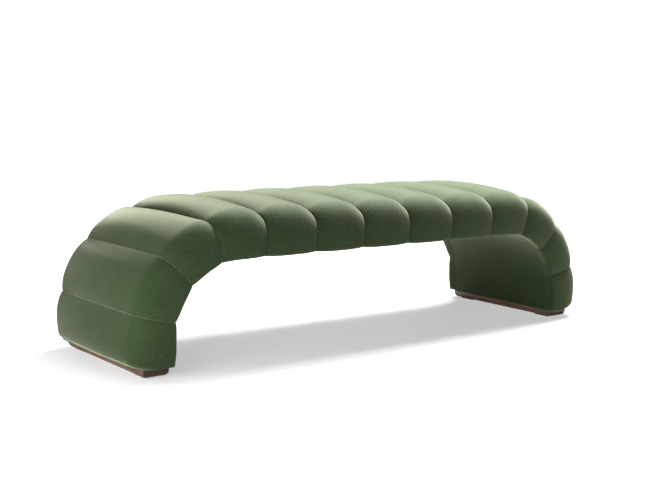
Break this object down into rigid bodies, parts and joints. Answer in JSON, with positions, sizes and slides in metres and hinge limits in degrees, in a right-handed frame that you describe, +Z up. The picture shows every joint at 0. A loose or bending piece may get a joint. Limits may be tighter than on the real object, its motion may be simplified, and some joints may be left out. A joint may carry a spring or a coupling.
{
  "type": "upholstered banquette bench",
  "caption": "Arch-shaped backless bench padded all round in channelled velvet, its seat curving down at both ends into legs on low inset wood plinths.",
  "frame": {"origin": "on the floor, under the middle of the seat", "axes": "+X along the bench to the right leg, +Y from the front side to the back side, +Z up"},
  "size_m": [1.7496, 0.538, 0.4648],
  "materials": {
    "velvet": "sage green pile velvet",
    "foam": "cream polyurethane foam",
    "wadding": "white polyester wadding",
    "cotton_tape": "unbleached cotton twill tape",
    "black_dust_cloth": "black non-woven dust cloth",
    "walnut": "walnut, clear satin lacquer",
    "beech": "planed beech",
    "birch_plywood": "sanded birch plywood",
    "felt": "pressed dark felt"
  },
  "bodies": {
    "root": {"back_rib": "birch_plywood", "back_side_foam": "foam", "centre_rib": "birch_plywood", "cross_rail_01": "birch_plywood", "cross_rail_02": "birch_plywood", "cross_rail_03": "birch_plywood", "cross_rail_04": "birch_plywood", "cross_rail_05": "birch_plywood", "cross_rail_06": "birch_plywood", "cross_rail_07": "birch_plywood", "cross_rail_08": "birch_plywood", "cross_rail_09": "birch_plywood", "cross_rail_10": "birch_plywood", "cross_rail_11": "birch_plywood", "cross_rail_12": "birch_plywood", "front_rib": "birch_plywood", "front_side_foam": "foam", "inner_velvet_panel": "velvet", "inner_wadding": "wadding", "left_dust_cloth": "black_dust_cloth", "left_felt_pads": "felt", "left_foot_board": "birch_plywood", "left_inner_skin": "birch_plywood", "left_outer_skin": "birch_plywood", "left_plinth": "walnut", "left_plinth_tenons": "beech", "right_dust_cloth": "black_dust_cloth", "right_felt_pads": "felt", "right_foot_board": "birch_plywood", "right_inner_skin": "birch_plywood", "right_outer_skin": "birch_plywood", "right_plinth": "walnut", "right_plinth_tenons": "beech", "seam_tapes": "cotton_tape", "seat_deck": "birch_plywood", "top_foam": "foam", "underside_skin": "birch_plywood", "velvet_channels": "velvet"}
  },
  "joints": []
}
